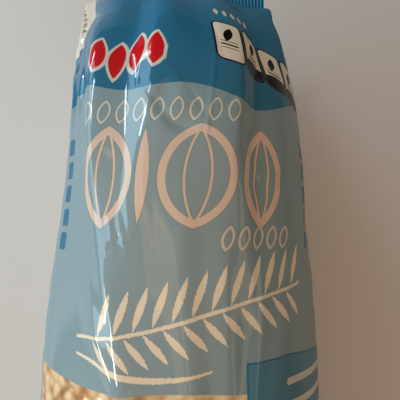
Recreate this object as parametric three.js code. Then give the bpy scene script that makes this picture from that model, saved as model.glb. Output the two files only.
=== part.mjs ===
// A shut printed film pack that holds one stack of round puffed rice cakes.
// It lies on its back with the front panel up: X runs across the pack, +Y to its top seal, +Z up.
// The origin is under the middle of the pack, on the surface that it lies on.  Millimetres.
//
// The film is one closed skin, lofted along Y.  Round the stack a section is an oval.  Towards
// each end it turns into a gusseted form: a front panel, a back panel and two side panels that
// tuck in between them, until all of them are pressed flat in the crimped seal.

import * as THREE from 'three';

// ---- driving dimensions, mm ----
const PACK_LENGTH = 308;
const SEAL_WIDTH = 80;
const SEAL_THICK = 1.3;
const TOP_SEAL_LENGTH = 12;
const BASE_SEAL_LENGTH = 9;
const SEAL_Z = 43;
const CAKE_DIAMETER = 91;
const CAKE_PITCH = 14.5;
const CAKE_COUNT = 14;
const STACK_TOP_Y = 69;
const WIDEST_Z = 46;
const FIN_WIDTH = 20;
const FIN_THICK = 0.9;

// ---- worked out from them ----
const TOP_END = PACK_LENGTH / 2;
const BASE_END = -PACK_LENGTH / 2;
const TOP_SEAL = TOP_END - TOP_SEAL_LENGTH;
const BASE_SEAL = BASE_END + BASE_SEAL_LENGTH;
const STACK_BASE_Y = STACK_TOP_Y - CAKE_COUNT * CAKE_PITCH;
const HALF_SEAL = SEAL_WIDTH / 2;
const LAYER = SEAL_THICK / 2;
const FIN_HALF = FIN_WIDTH / 2;

const clamp = (value, low, high) => Math.min(high, Math.max(low, value));
const mix = (from, to, share) => from + (to - from) * share;
const ease = (from, to, value) => {
  const share = clamp((value - from) / (to - from), 0, 1);
  return share * share * (3 - 2 * share);
};

// A smooth line through [place, value] stops that never swings past them, level beyond its ends.
function through(stops) {
  const slope = stops.map((stop, i) => {
    if (i === 0 || i === stops.length - 1) return 0;
    const before = (stop[1] - stops[i - 1][1]) / (stop[0] - stops[i - 1][0]);
    const after = (stops[i + 1][1] - stop[1]) / (stops[i + 1][0] - stop[0]);
    return before * after <= 0 ? 0 : (2 * before * after) / (before + after);
  });
  return (place) => {
    const last = stops.length - 1;
    if (place <= stops[0][0]) return stops[0][1];
    if (place >= stops[last][0]) return stops[last][1];
    const i = stops.findIndex((stop) => stop[0] > place) - 1;
    const gap = stops[i + 1][0] - stops[i][0];
    const t = (place - stops[i][0]) / gap;
    const rise = t * t * (3 - 2 * t);
    return (
      mix(stops[i][1], stops[i + 1][1], rise) +
      gap * (slope[i] * t * (1 - t) * (1 - t) - slope[i + 1] * t * t * (1 - t))
    );
  };
}

// ---- the long lines of the pack, each a height or half-width against Y ----
const halfWidth = through([
  [BASE_SEAL, HALF_SEAL],
  [BASE_SEAL + 4, 43],
  [STACK_BASE_Y + 6, 51],
  [-100, 53.8],
  [-20, 54.6],
  [15, 52.7],
  [40, 50.4],
  [56, 48.8],
  [70, 47.6],
  [84, 46.8],
  [98, 46.5],
  [113, 46],
  [124, 44.4],
  [134, 41.5],
  [TOP_SEAL, HALF_SEAL],
]);
const sway = through([[0, 0], [52, 1.3], [80, 1.2], [100, 0.2], [118, -1.3], [130, -2.2], [TOP_SEAL, -1.8]]);
const ridgeZ = through([
  [BASE_SEAL, SEAL_Z + LAYER],
  [BASE_SEAL + 2.5, 60],
  [BASE_SEAL + 6, 78],
  [STACK_BASE_Y + 2, 87.5],
  [STACK_BASE_Y + 14, CAKE_DIAMETER + 0.4],
  [-20, CAKE_DIAMETER + 0.6],
  [25, CAKE_DIAMETER + 2.4],
  [60, CAKE_DIAMETER + 4],
  [82, 92.6],
  [98, 87.5],
  [110, 81],
  [120, 73.5],
  [130, 63.5],
  [137, 54],
  [TOP_SEAL, SEAL_Z + LAYER],
]);
const underZ = through([
  [BASE_SEAL, SEAL_Z - LAYER],
  [BASE_SEAL + 2.5, 27],
  [BASE_SEAL + 6, 9],
  [STACK_BASE_Y + 2, 2.6],
  [STACK_BASE_Y + 12, FIN_THICK],
  [STACK_TOP_Y - 4, FIN_THICK],
  [90, 6],
  [110, 16],
  [124, 26],
  [135, 36],
  [TOP_SEAL, SEAL_Z - LAYER],
]);

// ---- the gusseted form ----
const gusseted = (y) =>
  Math.max(ease(STACK_TOP_Y + 6, TOP_SEAL - 2, y), ease(STACK_BASE_Y + 5, BASE_SEAL + 1, y));
const cornerX = through([
  [BASE_SEAL, HALF_SEAL],
  [BASE_SEAL + 8, 33],
  [0, 31],
  [98, 31.5],
  [124, 33.5],
  [TOP_SEAL, HALF_SEAL],
]);
const tuck = through([
  [BASE_SEAL, 0.4],
  [BASE_SEAL + 1.5, 16],
  [BASE_SEAL + 8, 4],
  [STACK_TOP_Y + 12, 2],
  [112, 17],
  [TOP_SEAL - 5, 29],
  [TOP_SEAL - 1.5, 22],
  [TOP_SEAL, 0.4],
]);
const swell = through([
  [BASE_SEAL, 0],
  [BASE_SEAL + 6, 14],
  [90, 25],
  [112, 26],
  [126, 22],
  [136, 11],
  [TOP_SEAL, 0],
]);
const LEFT_CORNER = 36;
const RIGHT_CORNER = 44;
const BACK_CORNER = 45;

// ---- lines of angle round the pack against Y: 0 on the ridge, 90 on the right, -90 on the left ----
const flatEdge = through([[-100, -50], [-40, -53], [0, -57], [40, -62], [60, -64]]);
const lowCrease = through([
  [-40, -15],
  [-8, -20],
  [0, -24],
  [10, -28.3],
  [30, -34],
  [60, -40],
  [124, -41],
]);
const panelCrease = through([
  [-40, -10],
  [-4, -17.4],
  [11, -21.6],
  [26, -26.6],
  [43, -32],
  [60, -34.3],
  [76, -35.4],
  [98, -34.6],
  [124, -34],
]);

// ---- folds pressed into the film ----
// Each is its line of angle, its height against Y, how far it reaches to either side, and how round
// it is: near 1 it is a crease between two flat panels, at 2 a soft roll.
const FOLDS = [
  {
    name: 'left panel crease',
    angle: panelCrease,
    height: through([
      [-50, 0],
      [-20, 0.3],
      [8, 0.5],
      [34, 1.1],
      [50, 1.4],
      [100, 1.4],
      [118, 0.5],
      [130, 0],
    ]),
    reach: [15, 20],
    roundness: 1.1,
  },
  {
    name: 'left panel crease, drawn up past the last cake',
    angle: panelCrease,
    height: through([[42, 0], [56, 1.1], [68, 2], [80, 2.7], [92, 3.2], [103, 3.3], [114, 2], [126, 0]]),
    reach: [9, 12],
    roundness: 1.7,
  },
  {
    name: 'left panel crease, its lower run',
    angle: panelCrease,
    height: through([[-50, 0], [-24, 0.7], [16, 0.8], [34, 0]]),
    reach: [5, 8],
    roundness: 1.5,
  },
  {
    name: 'left low crease',
    angle: lowCrease,
    height: through([[-44, 0], [-18, 0.5], [-4, 0.55], [2, 0.65], [8, 0.8], [14, 0.6], [26, 0]]),
    reach: [4, 5.5],
    roundness: 1.4,
  },
  {
    name: 'left band valley',
    angle: through([
      [-40, -10],
      [-4, -15.5],
      [11, -18.8],
      [38, -23.6],
      [60, -22.3],
      [82, -21],
      [88, -20.4],
      [96, -19.4],
      [114, -18.4],
    ]),
    height: through([[30, 0], [42, -0.7], [56, -0.9], [90, -0.9], [104, -1.5], [118, -1.5], [130, 0]]),
    reach: [12, 7],
    roundness: 1.15,
  },
  {
    name: 'left band crest',
    angle: through([
      [-40, -7],
      [-4, -11.5],
      [11, -14.5],
      [36, -18.6],
      [54, -17.5],
      [66, -15.1],
      [80, -13.8],
      [91, -12.8],
      [98, -11.5],
      [112, -7.8],
    ]),
    height: through([[30, 0], [44, 0.3], [60, 0.4], [90, 0.4], [104, 1], [118, 1.1], [130, 0]]),
    reach: [8, 16],
    roundness: 1.1,
  },
  {
    name: 'right band crest',
    angle: through([[10, 21.5], [40, 19.6], [66, 16.6], [87, 19.3], [102, 23.1]]),
    height: through([[10, 0], [40, 0.5], [70, 1.2], [100, 1.1], [118, 0]]),
    reach: [16, 6],
    roundness: 1.5,
  },
  {
    name: 'right panel valley',
    angle: through([[20, 25], [60, 23.5], [74, 27.1], [85, 28.9], [99, 35]]),
    height: through([[10, 0], [38, -0.8], [66, -2.2], [98, -2.4], [120, 0]]),
    reach: [8, 15],
    roundness: 1.5,
  },
  {
    name: 'right low crease',
    angle: through([[-70, 22], [-9, 29.3], [9, 34.6], [30, 42]]),
    height: through([[-80, 0], [-30, 0.9], [10, 0.7], [36, 0]]),
    reach: [12, 10],
    roundness: 1.5,
  },
  {
    name: 'right waist pinch',
    angle: through([[20, 62], [60, 74]]),
    height: through([[14, 0], [30, -1.1], [42, -1.3], [62, 0]]),
    reach: [22, 20],
    roundness: 1.5,
  },
];
// Film held between two lines is drawn nearly flat: hollowed by a depth, and bent at both lines.
const FLATS = [
  {
    name: 'lower left panel',
    left: flatEdge,
    right: lowCrease,
    depth: through([[-120, 0], [-90, 1.6], [-30, 2.1], [0, 1.9], [12, 1], [30, 0]]),
  },
  {
    name: 'upper left panel',
    left: flatEdge,
    right: panelCrease,
    depth: through([[0, 0], [12, 0.8], [30, 1.5], [60, 0.9], [84, 0]]),
  },
];
const flatBend = through([[-30, 0.1], [0, 0.3], [40, 0.34], [64, 0.1]]);
const DENTS = [
  { name: 'drop past the last cake', angle: -8, y: 76, depth: 0.6, reach: [6, 7] },
  { name: 'dimple on the last cake', angle: -3, y: 67, depth: 0.5, reach: [7, 4] },
  { name: 'hollow of the right band', angle: 25, y: 50, depth: 0.5, reach: [8, 5] },
  { name: 'crumple on the right', angle: 45, y: 52, depth: 0.9, reach: [14, 5] },
  { name: 'hollow at the left of the neck', angle: -52, y: 96, depth: 0.8, reach: [9, 10] },
];

const CREASE_SOFT = 1.3;
const foldAt = (fold, angle, y) => {
  const off = angle - fold.angle(y);
  const away = (Math.hypot(off, CREASE_SOFT) - CREASE_SOFT) / fold.reach[off < 0 ? 0 : 1];
  return away < 1 ? fold.height(y) * (1 - away) ** fold.roundness : 0;
};
const flatAt = (flat, angle, y) => {
  const off = (2 * angle - flat.left(y) - flat.right(y)) / (flat.right(y) - flat.left(y));
  const inside = 1 - off * off;
  return (-flat.depth(y) * (inside + Math.hypot(inside, flatBend(y)))) / 2;
};
const dentAt = (dent, angle, y) => {
  const far = Math.hypot((angle - dent.angle) / dent.reach[0], (y - dent.y) / dent.reach[1]);
  return far < 1 ? -dent.depth * (1 - far * far) ** 2 : 0;
};

// Uneven pleats run out of each seal and die away along the pack.
const PLEAT_DEPTH = 0.8;
const waver = (turn, count, drift) => Math.cos(count * turn + drift + 1.4 * Math.sin(3 * turn + drift));
const pleatAt = (angle, y) => {
  const turn = (angle * Math.PI) / 180;
  const top = ease(92, 126, y) * ease(TOP_SEAL, TOP_SEAL - 5, y);
  const base = ease(STACK_BASE_Y + 13, STACK_BASE_Y - 2, y) * ease(BASE_SEAL, BASE_SEAL + 3, y);
  return PLEAT_DEPTH * (top * waver(turn, 13, 0.6) + base * waver(turn, 16, 2.1));
};

// Both layers of a seal ripple together, and the ripple dies away into the pack.
const SEAL_RIPPLE = 0.9;
const RIPPLE_WAVES = 4.4;
const RIPPLE_START = { top: 0.7, base: 2.5 };
const rippleAt = (x, y) => {
  const near = ease(TOP_SEAL - 12, TOP_SEAL, y) + ease(BASE_SEAL + 4, BASE_SEAL, y);
  const start = y > 0 ? RIPPLE_START.top : RIPPLE_START.base;
  return SEAL_RIPPLE * near * Math.sin((x / HALF_SEAL) * RIPPLE_WAVES + start);
};

// The film hangs a little slack between two cakes at the sides, and is held straight on the back.
const SLACK = 0.35;
const slackAt = (angle, y) => {
  if (y > STACK_TOP_Y || y < STACK_BASE_Y) return 0;
  const between = (1 - Math.cos(((y - STACK_BASE_Y) / CAKE_PITCH) * 2 * Math.PI)) / 2;
  return SLACK * (between - 1) * ease(40, 100, Math.abs(angle)) * ease(176, 150, Math.abs(angle));
};

const relief = (angle, y) =>
  FOLDS.reduce((sum, fold) => sum + foldAt(fold, angle, y), 0) +
  FLATS.reduce((sum, flat) => sum + flatAt(flat, angle, y), 0) +
  DENTS.reduce((sum, dent) => sum + dentAt(dent, angle, y), 0) +
  pleatAt(angle, y) +
  slackAt(angle, y);

// ---- sections ----
const power = (value, share) => Math.sign(value) * Math.abs(value) ** share;
const ROUNDNESS = 0.97;

function ovalPoint(angle, y) {
  const turn = (angle * Math.PI) / 180;
  const up = Math.cos(turn);
  const reach = up > 0 ? ridgeZ(y) - WIDEST_Z : WIDEST_Z - underZ(y);
  return [halfWidth(y) * power(Math.sin(turn), ROUNDNESS), WIDEST_Z + reach * power(up, ROUNDNESS)];
}

// A side panel in the gusseted form: from its crease at one panel out, round and in to its tuck.
function sidePoint(crease, share, y) {
  const fold = [cornerX(y) - tuck(y), SEAL_Z];
  const out = [cornerX(y) + swell(y), mix(SEAL_Z, crease[1], 0.4)];
  const rest = 1 - share;
  return [0, 1].map((k) => rest * rest * crease[k] + 2 * rest * share * out[k] + share * share * fold[k]);
}

function gussetPoint(angle, y) {
  const side = Math.sign(angle) || 1;
  const away = Math.abs(angle);
  const corner = side < 0 ? LEFT_CORNER : RIGHT_CORNER;
  const creaseZ = mix(SEAL_Z + LAYER, ridgeZ(y), 0.62);
  const backZ = mix(SEAL_Z - LAYER, underZ(y), 0.7);
  let point;
  if (away <= corner) {
    const share = away / corner;
    point = [cornerX(y) * share, mix(ridgeZ(y), creaseZ, share * share)];
  } else if (away <= 90) {
    point = sidePoint([cornerX(y), creaseZ], (away - corner) / (90 - corner), y);
  } else if (away <= 180 - BACK_CORNER) {
    point = sidePoint([cornerX(y), backZ], (180 - BACK_CORNER - away) / (90 - BACK_CORNER), y);
  } else {
    const share = (180 - away) / BACK_CORNER;
    point = [cornerX(y) * share, mix(underZ(y), backZ, share * share)];
  }
  return [side * point[0], point[1]];
}

function skinPoint(angle, y) {
  const oval = ovalPoint(angle, y);
  const gusset = gussetPoint(angle, y);
  const share = gusseted(y);
  const turn = (angle * Math.PI) / 180;
  const lift = relief(angle, y);
  const x = mix(oval[0], gusset[0], share) + lift * Math.sin(turn);
  const z = mix(oval[1], gusset[1], share) + lift * Math.cos(turn);
  return new THREE.Vector3(x, y, z);
}

// The back seam is a fin folded flat under the pack from seal to seal, and the pack rests on it.
// Its columns keep to its width, and it thins out into each seal.
const FIN_ANGLE = 167;
const FIN_EDGE = 1.5;
function addFin(point, angle) {
  const past = 180 - Math.abs(angle);
  if (past > 180 - FIN_ANGLE + FIN_EDGE + 0.01) return point;
  const inside = past <= 180 - FIN_ANGLE + 0.01;
  const share = inside ? past / (180 - FIN_ANGLE) : 1 + 0.5 / FIN_HALF;
  point.x = Math.sign(angle) * share * FIN_HALF;
  if (inside) {
    const thin = ease(TOP_SEAL, TOP_SEAL - 8, point.y) * ease(BASE_SEAL, BASE_SEAL + 3, point.y);
    point.z = Math.max(0, underZ(point.y) - FIN_THICK * thin);
  }
  return point;
}

// ---- rows and columns of the skin ----
// [from, to, steps] runs, laid end to end, each without its last stop.
const spread = (runs) =>
  runs.flatMap(([from, to, steps]) => Array.from({ length: steps }, (_, i) => mix(from, to, i / steps)));
const COLUMNS = spread([
  [-180, -FIN_ANGLE, 2],
  [-FIN_ANGLE, -FIN_ANGLE + FIN_EDGE, 1],
  [-FIN_ANGLE + FIN_EDGE, -66, 13],
  [-66, -6, 24],
  [-6, 50, 13],
  [50, FIN_ANGLE - FIN_EDGE, 15],
  [FIN_ANGLE - FIN_EDGE, FIN_ANGLE, 1],
  [FIN_ANGLE, 180, 2],
]);
const ROWS = [
  ...spread([
    [BASE_END, BASE_SEAL, 1],
    [BASE_SEAL, STACK_BASE_Y + 12, 11],
    [STACK_BASE_Y + 12, -22, 15],
    [-22, STACK_TOP_Y, 23],
    [STACK_TOP_Y, TOP_SEAL - 6, 18],
    [TOP_SEAL - 6, TOP_SEAL, 5],
    [TOP_SEAL, TOP_END, 1],
  ]),
  TOP_END,
];

function packSkin() {
  const corners = [];
  const faces = [];
  const round = COLUMNS.length;
  for (const y of ROWS) {
    const along = clamp(y, BASE_SEAL, TOP_SEAL);
    for (const angle of COLUMNS) {
      const point = addFin(skinPoint(angle, along), angle);
      corners.push(point.x + sway(along), y, point.z + rippleAt(point.x, along));
    }
  }
  for (let row = 0; row + 1 < ROWS.length; row += 1) {
    for (let column = 0; column < round; column += 1) {
      const next = (column + 1) % round;
      const a = row * round + column;
      const b = row * round + next;
      faces.push(a, b + round, a + round, a, b, b + round);
    }
  }
  for (const [row, isTop] of [[0, false], [ROWS.length - 1, true]]) {
    const middle = corners.length / 3;
    corners.push(sway(clamp(ROWS[row], BASE_SEAL, TOP_SEAL)), ROWS[row], SEAL_Z);
    for (let column = 0; column < round; column += 1) {
      const here = row * round + column;
      const next = row * round + ((column + 1) % round);
      faces.push(middle, ...(isTop ? [here, next] : [next, here]));
    }
  }
  const geometry = new THREE.BufferGeometry();
  geometry.setAttribute('position', new THREE.Float32BufferAttribute(corners, 3));
  geometry.setIndex(faces);
  geometry.computeVertexNormals();
  return geometry;
}

const printedFilm = new THREE.MeshStandardMaterial({ color: 0x8fa9b4, roughness: 0.32, metalness: 0.05 });

const pack = new THREE.Group();
const filmPack = new THREE.Mesh(packSkin(), printedFilm);
filmPack.name = 'film_pack';
pack.add(filmPack);

export default pack;
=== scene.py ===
"""A shut film pack of puffed rice cakes on a pale floor, laid out as an add-on.

The film is one skin, lofted along the pack, with the crimped seals and the back fin as pieces of
their own.  Lengths in the shape code are millimetres: X across the pack, +Y to its top seal, +Z up.
"""

import math

import bpy
import numpy as np
from bpy.props import FloatProperty, FloatVectorProperty, IntProperty, PointerProperty
from mathutils import Matrix, Vector


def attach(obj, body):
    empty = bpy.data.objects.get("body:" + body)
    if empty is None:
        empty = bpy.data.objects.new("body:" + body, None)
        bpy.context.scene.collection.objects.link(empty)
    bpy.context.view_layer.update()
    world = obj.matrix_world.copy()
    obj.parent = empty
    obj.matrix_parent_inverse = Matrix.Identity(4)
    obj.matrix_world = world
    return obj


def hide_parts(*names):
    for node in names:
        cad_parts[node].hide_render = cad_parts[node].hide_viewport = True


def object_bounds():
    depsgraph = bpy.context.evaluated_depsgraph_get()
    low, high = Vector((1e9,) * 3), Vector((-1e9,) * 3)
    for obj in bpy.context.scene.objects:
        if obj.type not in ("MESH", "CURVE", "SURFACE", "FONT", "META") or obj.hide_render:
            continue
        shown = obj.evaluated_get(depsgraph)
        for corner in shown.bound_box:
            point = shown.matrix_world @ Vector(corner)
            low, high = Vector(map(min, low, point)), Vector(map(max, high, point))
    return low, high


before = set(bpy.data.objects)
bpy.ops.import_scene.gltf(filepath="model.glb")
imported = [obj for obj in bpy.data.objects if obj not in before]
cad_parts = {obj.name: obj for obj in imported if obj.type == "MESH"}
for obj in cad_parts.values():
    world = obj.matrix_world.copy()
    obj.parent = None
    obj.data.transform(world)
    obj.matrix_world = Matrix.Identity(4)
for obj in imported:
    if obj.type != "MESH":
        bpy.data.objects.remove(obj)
CAD_BOX = [list(corner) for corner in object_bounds()]

bl_info = {
    "name": "Rice cake film pack",
    "version": (1, 0, 0),
    "blender": (4, 5, 0),
    "location": "3D View > Sidebar > Rice Pack",
    "description": "Builds a shut, printed film pack of puffed rice cakes and its stage",
    "category": "Object",
}

MM = 0.001
PACK_END = 1000 * CAD_BOX[1][1]
BODY = "root"
CAD_NODE = "film_pack"
FINISH = "glossy_print"
SKIN = "film_skin"
LABEL_MAP = "film"
BAKE_MAP = "OFBake"

# ---- the pack's stations along Y and its seal, as its solid has them ----
TOP_SEAL_LONG = 12
BASE_SEAL_LONG = 9
TOP_SEAL = PACK_END - TOP_SEAL_LONG
BASE_SEAL = BASE_SEAL_LONG - PACK_END
NECK_START = 60
CREASED_FROM = -24
CAKE_PITCH = 14.5
CAKE_COUNT = 14
STACK_TOP = 69
STACK_BASE = STACK_TOP - CAKE_COUNT * CAKE_PITCH
HALF_SEAL = 40
HALF_SEAL_THICK = 0.65
SEAL_Z = 43
WIDEST_Z = 46
CAKE_TOP = 91
FIN_THICK = 0.9
SEAL_RIPPLE = 0.9
RIPPLE_WAVES = 4.4
RIPPLE_START = {"top": 0.7, "base": 2.5}

# ---- how round the pack is ----
OVAL_POWER = 0.97
FRONT_EDGE_RISE = 0.62
BACK_EDGE_RISE = 0.7
SIDE_BEND_RISE = 0.4
MM_PER_DEGREE = 0.87
SLACK = 0.35
PLEAT_DRIFT = 1.4
RIDGE_POINTS = 2711

# ---- the skin's bake layout: rows in the middle, shut ends in thin strips below and above ----
SKIN_BAKE_START, SKIN_BAKE_SPAN = 0.03, 0.94
BASE_CAP_BAKE, TOP_CAP_BAKE = 0.005, 0.98
CAP_BAKE_WIDE, CAP_BAKE_HIGH = 0.98, 0.012


# ----------------------------------------
# Lines and easing
# ----------------------------------------
def mix(start, end, share):
    return start + (end - start) * share


def ease(start, end, value):
    """0 at start, 1 at end, smooth between."""
    share = np.clip((value - start) / (end - start), 0, 1)
    return share * share * (3 - 2 * share)


def through(*stops):
    """A smooth line through (place, value) stops, never past them, and level beyond its ends."""
    place, value = np.array(stops, float).T
    steep = np.diff(value) / np.diff(place)
    before, after = steep[:-1], steep[1:]
    same_way = before * after > 0
    total = np.where(same_way, before + after, 1)
    slope = np.zeros(len(place))
    slope[1:-1] = np.where(same_way, 2 * before * after / total, 0)

    def line(at):
        at = np.clip(at, place[0], place[-1])
        i = np.clip(np.searchsorted(place, at, side="right") - 1, 0, len(place) - 2)
        gap = place[i + 1] - place[i]
        t = (at - place[i]) / gap
        bend = slope[i] * t * (1 - t) ** 2 - slope[i + 1] * t * t * (1 - t)
        return mix(value[i], value[i + 1], t * t * (3 - 2 * t)) + gap * bend

    return line


# ---- the long lines of the pack, each a height or half-width against Y ----
half_width = through(
    (BASE_SEAL, HALF_SEAL), (BASE_SEAL + 4, 43), (STACK_BASE + 6, 51), (-100, 53.8), (-20, 54.6),
    (15, 52.7), (40, 50.4), (56, 48.8), (70, 47.6), (84, 46.8), (98, 46.5), (113, 46), (124, 44.4),
    (134, 41.5), (TOP_SEAL, HALF_SEAL),
)
sway = through((0, 0), (52, 1.3), (80, 1.2), (100, 0.2), (118, -1.3), (130, -2.2), (TOP_SEAL, -1.8))
ridge_z = through(
    (BASE_SEAL, SEAL_Z + HALF_SEAL_THICK), (BASE_SEAL + 2.5, 60), (BASE_SEAL + 6, 78),
    (STACK_BASE + 2, 87.5), (STACK_BASE + 14, CAKE_TOP + 0.4), (-20, CAKE_TOP + 0.6),
    (25, CAKE_TOP + 2.4), (60, CAKE_TOP + 4), (82, 92.6), (98, 87.5), (110, 81), (120, 73.5),
    (130, 63.5), (137, 54), (TOP_SEAL, SEAL_Z + HALF_SEAL_THICK),
)
under_z = through(
    (BASE_SEAL, SEAL_Z - HALF_SEAL_THICK), (BASE_SEAL + 2.5, 27), (BASE_SEAL + 6, 9),
    (STACK_BASE + 2, 2.6), (STACK_BASE + 12, FIN_THICK), (STACK_TOP - 4, FIN_THICK), (90, 6),
    (110, 16), (124, 26), (135, 36), (TOP_SEAL, SEAL_Z - HALF_SEAL_THICK),
)

# ---- the gusseted form of each end ----
corner_x = through(
    (BASE_SEAL, HALF_SEAL), (BASE_SEAL + 8, 33), (0, 31), (98, 31.5), (124, 33.5),
    (TOP_SEAL, HALF_SEAL),
)
tuck = through(
    (BASE_SEAL, 0.4), (BASE_SEAL + 1.5, 16), (BASE_SEAL + 8, 4), (STACK_TOP + 12, 2), (112, 17),
    (TOP_SEAL - 5, 29), (TOP_SEAL - 1.5, 22), (TOP_SEAL, 0.4),
)
swell = through(
    (BASE_SEAL, 0), (BASE_SEAL + 6, 14), (90, 25), (112, 26), (126, 22), (136, 11), (TOP_SEAL, 0)
)
LEFT_CORNER = 36
RIGHT_CORNER = 44
BACK_CORNER = 45

# ---- lines of angle round the pack against Y: 0 on the ridge, 90 right, -90 left ----
low_crease = through((-40, -15), (-8, -20), (0, -24), (10, -28.3), (30, -34), (60, -40), (124, -41))
panel_crease = through(
    (-40, -10), (-4, -17.4), (11, -21.6), (26, -26.6), (43, -32), (60, -34.3), (76, -35.4),
    (98, -34.6), (124, -34),
)
left_valley = through(
    (-40, -10), (-4, -15.5), (11, -18.8), (38, -23.6), (60, -22.3), (82, -21), (88, -20.4),
    (96, -19.4), (114, -18.4),
)
left_crest = through(
    (-40, -7), (-4, -11.5), (11, -14.5), (36, -18.6), (54, -17.5), (66, -15.1), (80, -13.8),
    (91, -12.8), (98, -11.5), (112, -7.8),
)
right_crest = through((10, 21.5), (40, 19.6), (66, 16.6), (87, 19.3), (102, 23.1))
right_valley = through((20, 25), (60, 23.5), (74, 27.1), (85, 28.9), (99, 35))

# Each fold is its line of angle, its height against Y, how far it reaches to either side, and how
# round it is: near 1 it is a crease between two flat panels, at 2 a soft roll.
FOLDS = (
    # the crease between the front and the left side, and a rounder rise under it in the neck
    (
        panel_crease,
        through(
            (-50, 0), (-20, 0.3), (8, 0.5), (34, 1.1), (50, 1.4), (100, 1.4), (118, 0.5), (130, 0)
        ),
        15, 20, 1.1,
    ),
    (
        panel_crease,
        through((42, 0), (56, 1.1), (68, 2), (80, 2.7), (92, 3.2), (103, 3.3), (114, 2), (126, 0)),
        9, 12, 1.7,
    ),
    # the valley and the crest beside it
    (
        left_valley,
        through((30, 0), (42, -0.7), (56, -0.9), (90, -0.9), (104, -1.5), (118, -1.5), (130, 0)),
        12, 7, 1.15,
    ),
    (
        left_crest,
        through((30, 0), (44, 0.3), (60, 0.4), (90, 0.4), (104, 1), (118, 1.1), (130, 0)),
        8, 16, 1.1,
    ),
    # a soft roll at the low end of the first crease, and the low crease on the left
    (panel_crease, through((-50, 0), (-24, 0.7), (16, 0.8), (34, 0)), 5, 8, 1.5),
    (
        low_crease,
        through((-44, 0), (-18, 0.5), (-4, 0.55), (2, 0.65), (8, 0.8), (14, 0.6), (26, 0)),
        4, 5.5, 1.4,
    ),
    # a fan of thin creases on the left of the neck
    (
        through((70, -50.8), (90, -47.9), (97, -46), (112, -41.6)),
        through((64, 0), (84, 1.2), (104, 1.4), (124, 0)),
        4, 2.4, 1.1,
    ),
    (
        through((99, -40.7), (122, -36.6)),
        through((86, 0), (98, 0.8), (114, 1), (128, 0)),
        3, 2, 1.1,
    ),
    (through((70, -41), (95, -42)), through((62, 0), (80, 0.4), (92, 0.4), (102, 0)), 3, 3, 1.3),
    (
        through((70, -60), (83, -58), (101, -55.7)),
        through((56, 0), (80, 1.1), (98, 1.4), (116, 0)),
        6, 2.4, 1.1,
    ),
    (
        through((84, -53), (104, -50.5), (120, -46)),
        through((78, 0), (92, 1.2), (108, 1.4), (126, 0)),
        5, 2.2, 1.1,
    ),
    # the crest and the valley on the right, a low roll below them and a pinched waist
    (right_crest, through((10, 0), (40, 0.5), (70, 1.2), (100, 1.1), (118, 0)), 16, 6, 1.5),
    (right_valley, through((10, 0), (38, -0.8), (66, -2.2), (98, -2.4), (120, 0)), 8, 15, 1.5),
    (
        through((-70, 22), (-9, 29.3), (9, 34.6), (30, 42)),
        through((-80, 0), (-30, 0.9), (10, 0.7), (36, 0)),
        12, 10, 1.5,
    ),
    (through((20, 62), (60, 74)), through((14, 0), (30, -1.1), (42, -1.3), (62, 0)), 22, 20, 1.5),
    # three soft bands in the middle of the front
    (
        through((-30, 14.8), (9, 12.8), (34, 11.4)),
        through((-60, 0), (-14, 0.35), (20, 0.4), (48, 0)),
        6, 5, 1.8,
    ),
    (
        through((-20, 20.8), (17, 24.8)),
        through((-44, 0), (-10, 0.4), (16, 0.35), (34, 0)),
        5, 4, 1.8,
    ),
    (
        through((-30, 4), (-6, 2.2), (34, -1.4)),
        through((-50, 0), (-10, 0.5), (30, 0.45), (58, 0)),
        8, 5, 1.6,
    ),
)
# Each flat lies between two lines of angle, hollowed by its depth against Y so that the film is
# nearly flat there and bends at both lines.
FLAT_EDGE = through((-100, -50), (-40, -53), (0, -57), (40, -62), (60, -64))
FLATS = (
    (FLAT_EDGE, low_crease, through((-120, 0), (-90, 1.6), (-30, 2.1), (0, 1.9), (12, 1), (30, 0))),
    (FLAT_EDGE, panel_crease, through((0, 0), (12, 0.8), (30, 1.5), (60, 0.9), (84, 0))),
)
CREASE_SOFT = 1.3
flat_bend = through((-30, 0.1), (0, 0.3), (40, 0.34), (64, 0.1))
# Each short crease is its angle, its Y, its lean in radians, half its length, half its width and
# its lift.
SHORT_CREASES = (
    (-24.2, 36, -0.3, 6, 1.7, 0.3),
    (-20.4, 36, -0.35, 7, 1.6, 0.3),
    (-22.4, 34, 0.7, 4, 1.7, -0.3),
    (-24.2, 31.5, -0.5, 5, 2.2, 0.14),
    (-18.6, 41, -0.2, 8, 1.7, 0.3),
    (-11.3, 77, 0.5, 6, 2.4, 0.25),
    (-9.2, 72, -0.6, 7, 2.6, -0.35),
    (-5.5, 68.5, -0.9, 6, 2.2, -0.25),
    (38, 29, 0.5, 9, 2.4, -0.5),
    (44, 34, -0.3, 8, 2, 0.35),
)
# How the scattered ones vary: their lean in radians, and the ranges of the others.
CREASE_LEAN = 0.45
CREASE_HALF_LONG = (5, 22)
CREASE_HALF_WIDE = (0.9, 2.4)
CREASE_SHARE = (0.3, 1)
# Each dent is its angle, its Y, its depth and its reach in degrees and in millimetres.
DENTS = (
    (-8, 76, 0.6, 6, 7),
    (-3, 67, 0.5, 7, 4),
    (25, 50, 0.5, 8, 5),
    (45, 52, 0.9, 14, 5),
    (-52, 96, 0.8, 9, 10),
)


def fold_lift(angle, y):
    """What the folds, dents and flats add to the film's distance from the middle of the pack."""
    total = 0
    for line, height, left, right, roundness in FOLDS:
        off = angle - line(y)
        away = (np.hypot(off, CREASE_SOFT) - CREASE_SOFT) / np.where(off < 0, left, right)
        total = total + height(y) * np.clip(1 - away, 0, 1) ** roundness
    for at, place, depth, across, along in DENTS:
        far = np.hypot((angle - at) / across, (y - place) / along)
        total = total - depth * np.clip(1 - far * far, 0, 1) ** 2
    for left, right, depth in FLATS:
        off = (2 * angle - left(y) - right(y)) / (right(y) - left(y))
        inside = 1 - off * off
        total = total - depth(y) * (inside + np.hypot(inside, flat_bend(y))) / 2
    return total


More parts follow.
